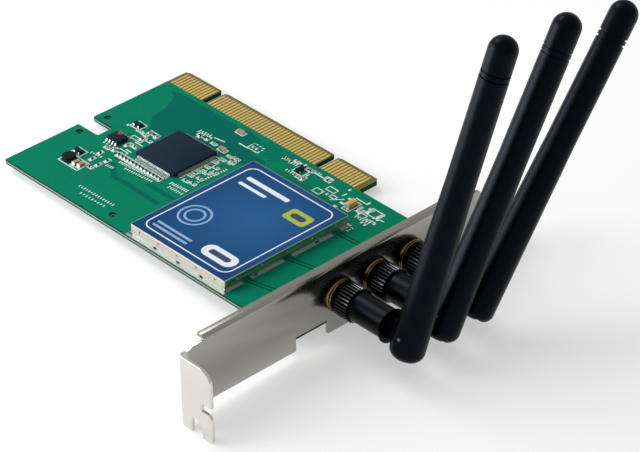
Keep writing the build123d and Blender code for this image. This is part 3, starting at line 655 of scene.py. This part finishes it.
# copper planes and traces that show through the mask
copper = {
    "thick": 0.02,
    "planes": (((-35.6, -11.0), (-32.2, -13.1), (-29.9, -18.5), (-28.8, -24.4), (-24.6, -28.7), (-23.8, -30.2),
                (-17.5, -29.9), (-17.4, -24.4), (-11.7, -24.7), (-2.0, -23.8), (4.5, -23.1), (12.6, -22.0),
                (12.6, -17.0), (6.0, -16.8), (2.6, -10.0), (-32.7, -10.0)),),
    "bandWidth": 1.6,
    "bands": (((-17.9, -48.1), (-12.5, -52.4), (7.0, -52.6)), ((-3.2, -48.2), (8.2, -48.2))),
    "traceWidth": 0.35,
    "traces": tuple(((x, -8.9), (x, -9.6 - 0.14 * i), (x - 4.0 - 0.2 * i, -13.5 - 0.3 * i))
                    for i, x in enumerate(x * 1.27 - 1.6 for x in range(6, 16))),
    # the two gaps beside each radio trace, from the can to the jacks
    "gaps": (((51.4, -59.0), (59.9, -57.0), (71.0, -52.4)), ((51.4, -60.2), (60.4, -58.2), (71.0, -53.6)),
             ((52.1, -44.1), (60.7, -42.1), (71.0, -39.4)), ((52.1, -45.3), (61.2, -43.3), (71.0, -40.6)),
             ((52.1, -26.2), (71.0, -25.4)), ((52.1, -27.4), (71.0, -26.6))),
}
planes = [flatShape(corners, boardTop, copper["thick"]) for corners in copper["planes"]]
planes += [flatShape(bandCorners(path, copper["bandWidth"]), boardTop, copper["thick"]) for path in copper["bands"]]
dress(joinPieces("copperPlanes", planes), "card", "coated_board", finishes["pour"])
traces = [flatShape(bandCorners(path, copper["traceWidth"]), boardTop, 1.5 * copper["thick"])
          for path in copper["traces"]]
dress(joinPieces("copperTraces", traces), "card", "coated_board", finishes["trace"])
gaps = [flatShape(bandCorners(path, copper["traceWidth"]), boardTop, 1.5 * copper["thick"])
        for path in copper["gaps"]]
dress(joinPieces("traceGaps", gaps), "card", "coated_board", finishes["gapLine"])
print("copper done")

# bare tinned strip on the board round the can, open where the radio traces come out
groundStrip = {"thick": 0.035, "corner": 0.15, "front": 0.95, "side": 1.2, "back": 0.8, "exit": 0.42, "under": 0.4,
               "openings": ((-61.2, -58.0), (-46.3, -43.1), (-28.4, -25.2))}
low, high = [[c / mm for c in corner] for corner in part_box("shield_cover")]
reach = groundStrip["under"]
outer = (low[0] - groundStrip["side"], low[1] - groundStrip["front"], high[0] + groundStrip["exit"],
         high[1] + groundStrip["back"])
spans = [(outer[0], outer[1], outer[2], low[1] + reach), (outer[0], high[1] - reach, outer[2], outer[3]),
         (outer[0], low[1], low[0] + reach, high[1])]
ends = [low[1], *(y for opening in groundStrip["openings"] for y in opening), high[1]]
spans += [(high[0] - reach, start, outer[2], end) for start, end in zip(ends[::2], ends[1::2])]
strips = [roundedPlate(((x0 + x1) / 2, (y0 + y1) / 2), (x1 - x0, y1 - y0), groundStrip["corner"], boardTop,
                       groundStrip["thick"]) for x0, y0, x1, y1 in spans]
dress(joinPieces("groundStrip", strips), "card", "tinned_leads", finishes["bareTin"])
print("ground strip", len(spans))

# white print: boxes round the small chips, bars and rows of short ticks
whitePrint = {
    "line": 0.32, "thick": 0.03, "past": 0.42, "corner": 0.15, "end": 0.55, "tick": 0.34, "tickCorner": 0.05,
    "tickLengths": (1, 0.7, 1, 0.85),
    "bars": (((-0.8, -15.8), (3.2, -15.8)), ((43.1, -11.4), (47.9, -11.5)), ((39.6, -13.5), (39.9, -11.8)),
             ((53.5, -16.4), (55.7, -16.2)), ((55.2, -14.4), (57.1, -14.1)), ((25.3, -15.0), (25.3, -12.6)),
             ((25.4, -11.0), (29.6, -11.0)),
             ((-22.0, -36.6), (-18.6, -36.6)), ((-20.6, -41.0), (-18.4, -41.0)), ((-7.9, -18.9), (-3.9, -18.3)),
             ((38.6, -17.2), (41.4, -14.2))),
    "boxes": ((4.6, -14.1, 4.6, 3.2), (35.5, -13.4, 3.6, 2.2), (33.1, -16.6, 3.2, 2.4), (-26.1, -55.7, 8.6, 5.0),
              (-27.9, -30.2, 4.2, 3.6), (-29.0, -51.4, 4.2, 3.6), (22.4, -13.3, 4.6, 3.4), (45.2, -15.2, 3.0, 5.4),
              (52.55, -13.2, 5.2, 3.4), (30.95, -10.3, 2.8, 1.7), (50.7, -16.4, 2.8, 2.2), (38.3, -15.6, 2.4, 1.6),
              (-22.7, -35.2, 4.6, 1.7), (-20.7, -38.4, 4.2, 1.7), (-20.5, -42.7, 3.8, 1.9), (-20.8, -30.1, 3.2, 1.8),
              (-10.8, -20.6, 4.0, 1.9), (1.1, -34.8, 4.2, 1.6), (1.0, -26.0, 2.8, 1.9), (3.7, -32.9, 2.8, 1.6)),
    # start, end, count and length of the ticks in a row
    "rows": ((-16.8, -46.5, -1.5, -44.8, 22, 1.1), (-13.1, -47.6, -3.0, -46.6, 13, 0.8),
             (1.5, -43.2, 7.7, -42.7, 9, 1.3), (2.6, -44.9, 7.8, -44.7, 7, 1.1),
             (-15.2, -62.4, -1.3, -62.0, 15, 0.9), (-12.2, -64.5, -2.7, -64.1, 9, 0.9),
             (13.8, -12.1, 19.2, -11.9, 7, 1.2), (21.4, -10.6, 27.6, -10.4, 8, 1.1),
             (49.8, -17.6, 54.6, -17.5, 6, 1.5), (53.2, -24.3, 53.2, -22.4, 3, 0.9),
             (19.0, -15.5, 25.0, -15.7, 7, 1.0), (5.5, -25.1, 6.1, -21.5, 6, 1.3),
             (6.4, -37.5, 7.2, -27.6, 12, 0.9), (-13.4, -19.6, -9.4, -19.2, 5, 1.7),
             (-26.4, -49.0, -22.6, -48.6, 5, 0.9), (-18.2, -50.2, -15.9, -49.9, 4, 1.0)),
}
printed = []
for name in ("chip_capacitors", "chip_resistors", "large_capacitors"):
    for x, y, length, width, _, turn in chipPlaces[name]:
        size = (length + 2 * whitePrint["end"] + whitePrint["past"], width + 2 * whitePrint["past"])
        printed.append(roundedPlate((x, y), size if turn == 0 else size[::-1], whitePrint["corner"], boardTop,
                                    whitePrint["thick"], whitePrint["line"]))
for x, y, width, depth in whitePrint["boxes"]:
    printed.append(roundedPlate((x, y), (width, depth), whitePrint["corner"], boardTop, whitePrint["thick"],
                                whitePrint["line"]))
for path in whitePrint["bars"]:
    printed.append(flatShape(bandCorners(path, 1.2 * whitePrint["line"]), boardTop, whitePrint["thick"]))
for startX, startY, endX, endY, count, length in whitePrint["rows"]:
    for i in range(count):
        share = i / (count - 1)
        reach = length * whitePrint["tickLengths"][i % 4]
        size = (whitePrint["tick"], reach)
        if abs(endX - startX) <= abs(endY - startY):
            size = size[::-1]
        printed.append(roundedPlate((startX + (endX - startX) * share, startY + (endY - startY) * share), size,
                                    whitePrint["tickCorner"], boardTop, whitePrint["thick"]))
dress(joinPieces("boardPrint", printed), "card", "coated_board", finishes["whitePrint"])
print("print", len(printed))

# label: a pale border line and plain shapes
labelArt = {"line": 0.42, "inset": 1.9, "corner": 3.0, "thick": 0.015,
            "labelWhite": ((27.0, -29.6, 17.0, 1.6, 0.7), (24.0, -32.8, 11.0, 1.2, 0.5),
                           (42.0, -60.6, 12.5, 5.4, 2.6)),
            "labelPale": ((24.5, -61.5, 14.0, 0.9, 0.4), (24.5, -63.3, 14.0, 0.9, 0.4)),
            "labelLime": ((43.2, -33.2, 8.4, 5.4, 1.2),),
            "labelNavy": ((43.2, -33.2, 5.2, 2.2, 1.0), (42.0, -60.6, 8.0, 2.0, 0.9)),
            "rings": ((22.5, -52.5, 10.0, 0.7), (22.5, -52.5, 6.4, 0.7))}
low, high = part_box("shield_label")
labelTop = high[2] / mm
inset = labelArt["inset"]
centre = [(a + b) / 2 / mm for a, b in zip(low, high)][:2]
size = [(b - a) / mm - 2 * inset for a, b in zip(low, high)][:2]
art = {"labelWhite": [roundedPlate(centre, size, labelArt["corner"], labelTop, labelArt["thick"], labelArt["line"])],
       "labelPale": [roundedPlate((x, y), (across, across), across / 2 - 0.01, labelTop, labelArt["thick"], line)
                     for x, y, across, line in labelArt["rings"]],
       "labelLime": [], "labelNavy": []}
for finish, shapes in art.items():
    lift = labelArt["thick"] if finish == "labelNavy" else 0
    for x, y, width, depth, corner in labelArt[finish]:
        shapes.append(roundedPlate((x, y), (width, depth), corner, labelTop + lift, labelArt["thick"]))
    dress(joinPieces(finish + "Art", shapes), "card", "blue_label", finishes[finish])
print("label done")

# marks on the chips: a round pin-one dimple, a paint dot
chipMarks = {"pinOne": (-14.9, -26.1, 0.55), "paint": (-26.75, -37.95, 0.75), "sides": 24, "thick": 0.02}


def disc(name, x, y, radius, z, thick):
    rest()
    bpy.ops.mesh.primitive_cylinder_add(vertices=chipMarks["sides"], radius=radius * mm, depth=thick * mm,
                                        location=(x * mm, y * mm, (z + thick / 2) * mm))
    piece = bpy.context.object
    shapeWith(piece, "BEVEL", width=thick / 3 * mm, segments=1)
    return settle(piece, name)


x, y, radius = chipMarks["pinOne"]
dress(disc("pinOneMark", x, y, radius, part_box("main_chip")[1][2] / mm, chipMarks["thick"]), "card", "chip_epoxy",
      finishes["resistorGlaze"])
x, y, radius = chipMarks["paint"]
dress(disc("paintDot", x, y, radius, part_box("memory_chip")[1][2] / mm, chipMarks["thick"]), "card", "chip_epoxy",
      finishes["redPaint"])

# round plugs pressed into the backs of the jacks
backPlug = {"radius": 2.1, "proud": 0.3, "bevel": 0.1, "dish": 0.5, "dishDepth": 0.08, "sides": 48}


def plugTemplate():
    # a disc with a shallow dish in its face, its axis along X
    rest()
    bpy.ops.mesh.primitive_cylinder_add(vertices=backPlug["sides"], radius=backPlug["radius"] * mm,
                                        depth=backPlug["proud"] * mm)
    plug = bpy.context.object
    shapeWith(plug, "BEVEL", width=backPlug["bevel"] * mm, segments=2, limit_method="ANGLE")
    bpy.ops.object.mode_set(mode="EDIT")
    bpy.ops.mesh.select_all(action="DESELECT")
    bpy.ops.object.mode_set(mode="OBJECT")
    for face in plug.data.polygons:
        face.select = face.normal.z > 0.99
    bpy.ops.object.mode_set(mode="EDIT")
    bpy.ops.mesh.inset(thickness=backPlug["dish"] * mm)
    bpy.ops.transform.translate(value=(0, 0, -backPlug["dishDepth"] * mm))
    rest()
    smoothBelow(plug, 40)
    plug.rotation_euler.y = math.radians(-90)
    return settle(plug, "plug")


plugSpots = []
for number in (1, 2, 3):
    low, high = [[c / mm for c in corner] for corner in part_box("jack_%d_washer" % number)]
    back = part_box("jack_%d_body" % number)[0][0] / mm
    plugSpots.append((back - backPlug["proud"] / 2, (low[1] + high[1]) / 2, (low[2] + high[2]) / 2, 0))
dress(spread(plugTemplate(), "jackPlugs", plugSpots), "card", "gold_brass", finishes["goldBrass"])
print("jack plugs", len(plugSpots))

# solder joints under the board, one cone on each jack leg and pin
joints = {"base": 1.15, "top": 0.68, "rise": 0.55, "legInset": 0.9, "frontLeg": 77.25, "pinFromBack": 2.4,
          "pinBase": 1.0, "pinTop": 0.5, "bevel": 0.12, "sides": 20}
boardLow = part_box("circuit_board")[0][2] / mm


def solderCone(base, top, rise):
    rest()
    bpy.ops.mesh.primitive_cone_add(vertices=joints["sides"], radius1=top * mm, radius2=base * mm, depth=rise * mm,
                                    location=(0, 0, -rise / 2 * mm))
    cone = bpy.context.object
    shapeWith(cone, "BEVEL", width=joints["bevel"] * mm, segments=2)
    smoothBelow(cone, 60)
    return settle(cone, "cone")


legSpots = []
pinSpots = []
for number in (1, 2, 3):
    low, high = [[c / mm for c in corner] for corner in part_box("jack_%d_body" % number)]
    middle = (low[1] + high[1]) / 2
    for x in (low[0] + joints["legInset"], joints["frontLeg"]):
        for y in (low[1] + joints["legInset"], high[1] - joints["legInset"]):
            legSpots.append((x, y, boardLow, 0))
    pinSpots.append((low[0] + joints["pinFromBack"], middle, boardLow, 0))
cones = spread(solderCone(joints["base"], joints["top"], joints["rise"]), "legSolder", legSpots)
dress(cones, "card", "tinned_leads", finishes["solder"])
cones = spread(solderCone(joints["pinBase"], joints["pinTop"], joints["rise"]), "pinSolder", pinSpots)
dress(cones, "card", "tinned_leads", finishes["solder"])
print("solder joints", len(legSpots) + len(pinSpots))

# studio: pale floor, soft light, camera
studio = {
    "cameraPlace": (0.59020, -0.52267, 0.49598), "cameraTurn": (56.033, 0.914, 47.100), "lens": 182.24,
    "clip": (0.05, 10), "aim": (0.05, -0.05, 0.02),
    "worldLight": 0.55, "floorSize": 3.0, "floorGlow": 0.4, "floorClear": 0.1,
    "panelFootY": -1.3, "panelDrop": 2.08,
    "keyPlace": (-0.55, -0.04, 0.8), "keySize": (0.45, 0.45), "keyPower": 3.2,
    "stripPlace": (-0.33, -0.43, 0.17), "stripSize": (0.45, 0.34), "stripPower": 3.2,
}


def addFloor():
    # the card rests on its tab's end, the panel's far corner and the board's rear corner
    tabLow, tabHigh = [Vector(c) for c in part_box("slot_bracket")]
    boardLow, boardHigh = [Vector(c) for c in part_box("circuit_board")]
    tabFoot = Vector((tabHigh.x, tabLow.y, tabLow.z))
    panelFoot = Vector((boardHigh.x, studio["panelFootY"] * mm, boardLow.z - studio["panelDrop"] * mm))
    rearFoot = Vector((boardLow.x, boardHigh.y, boardLow.z))
    up = (panelFoot - tabFoot).cross(rearFoot - tabFoot).normalized()
    if up.z < 0:
        up = -up
    rest()
    bpy.ops.mesh.primitive_plane_add(size=studio["floorSize"])
    floor = bpy.context.object
    floor.name = "floor"
    floor.rotation_euler = up.to_track_quat("Z", "Y").to_euler()
    floor.location = tabFoot - up * studio["floorClear"] * mm
    # matt white board; the part that the camera and the metal see glows a little, so that shadows stay light
    material, tree, surface = newFinish("mattWhiteBoard", Roughness=0.9, Specular_IOR_Level=0.0)
    path = addNode(tree, "ShaderNodeLightPath")
    seen = addNode(tree, "ShaderNodeMath", operation="MAXIMUM",
                   links={0: path.outputs["Is Camera Ray"], 1: path.outputs["Is Glossy Ray"]})
    through = addNode(tree, "ShaderNodeMath", links={0: seen.outputs[0], 1: path.outputs["Is Transmission Ray"]},
                      operation="MAXIMUM")
    shade = addNode(tree, "ShaderNodeMix", {6: (0.8, 0.8, 0.8, 1), 7: (1, 1, 1, 1)}, {0: through.outputs[0]},
                    data_type="RGBA")
    tree.links.new(shade.outputs[2], surface.inputs["Base Color"])
    glow = addNode(tree, "ShaderNodeEmission", {"Strength": 1.0})
    share = addNode(tree, "ShaderNodeMath", {1: studio["floorGlow"]}, {0: through.outputs[0]}, operation="MULTIPLY")
    both = addNode(tree, "ShaderNodeMixShader",
                   links={0: share.outputs[0], 1: surface.outputs[0], 2: glow.outputs[0]})
    tree.links.new(both.outputs[0], tree.nodes["Material Output"].inputs["Surface"])
    floor.data.materials.append(material)


def addWorld():
    world = bpy.data.worlds.new("studioWorld")
    bpy.context.scene.world = world
    world.use_nodes = True
    background = world.node_tree.nodes["Background"]
    background.inputs["Color"].default_value = (1, 1, 1, 1)
    background.inputs["Strength"].default_value = studio["worldLight"]


def addLamp(name, place, size, power):
    rest()
    bpy.ops.object.light_add(type="AREA", location=place)
    lamp = bpy.context.object
    lamp.name = name
    lamp.data.shape = "RECTANGLE"
    lamp.data.size, lamp.data.size_y = size
    lamp.data.energy = power
    aim = Vector(studio["aim"]) - Vector(place)
    lamp.rotation_euler = aim.to_track_quat("-Z", "Y").to_euler()


def addCamera():
    rest()
    bpy.ops.object.camera_add(location=studio["cameraPlace"])
    camera = bpy.context.object
    camera.rotation_euler = [math.radians(a) for a in studio["cameraTurn"]]
    camera.data.sensor_width = 36
    camera.data.lens = studio["lens"]
    camera.data.clip_start, camera.data.clip_end = studio["clip"]
    bpy.context.scene.camera = camera


addFloor()
addWorld()
addLamp("keyLamp", studio["keyPlace"], studio["keySize"], studio["keyPower"])
addLamp("stripLamp", studio["stripPlace"], studio["stripSize"], studio["stripPower"])
addCamera()
bpy.context.scene.view_settings.view_transform = "Standard"
print("studio set")
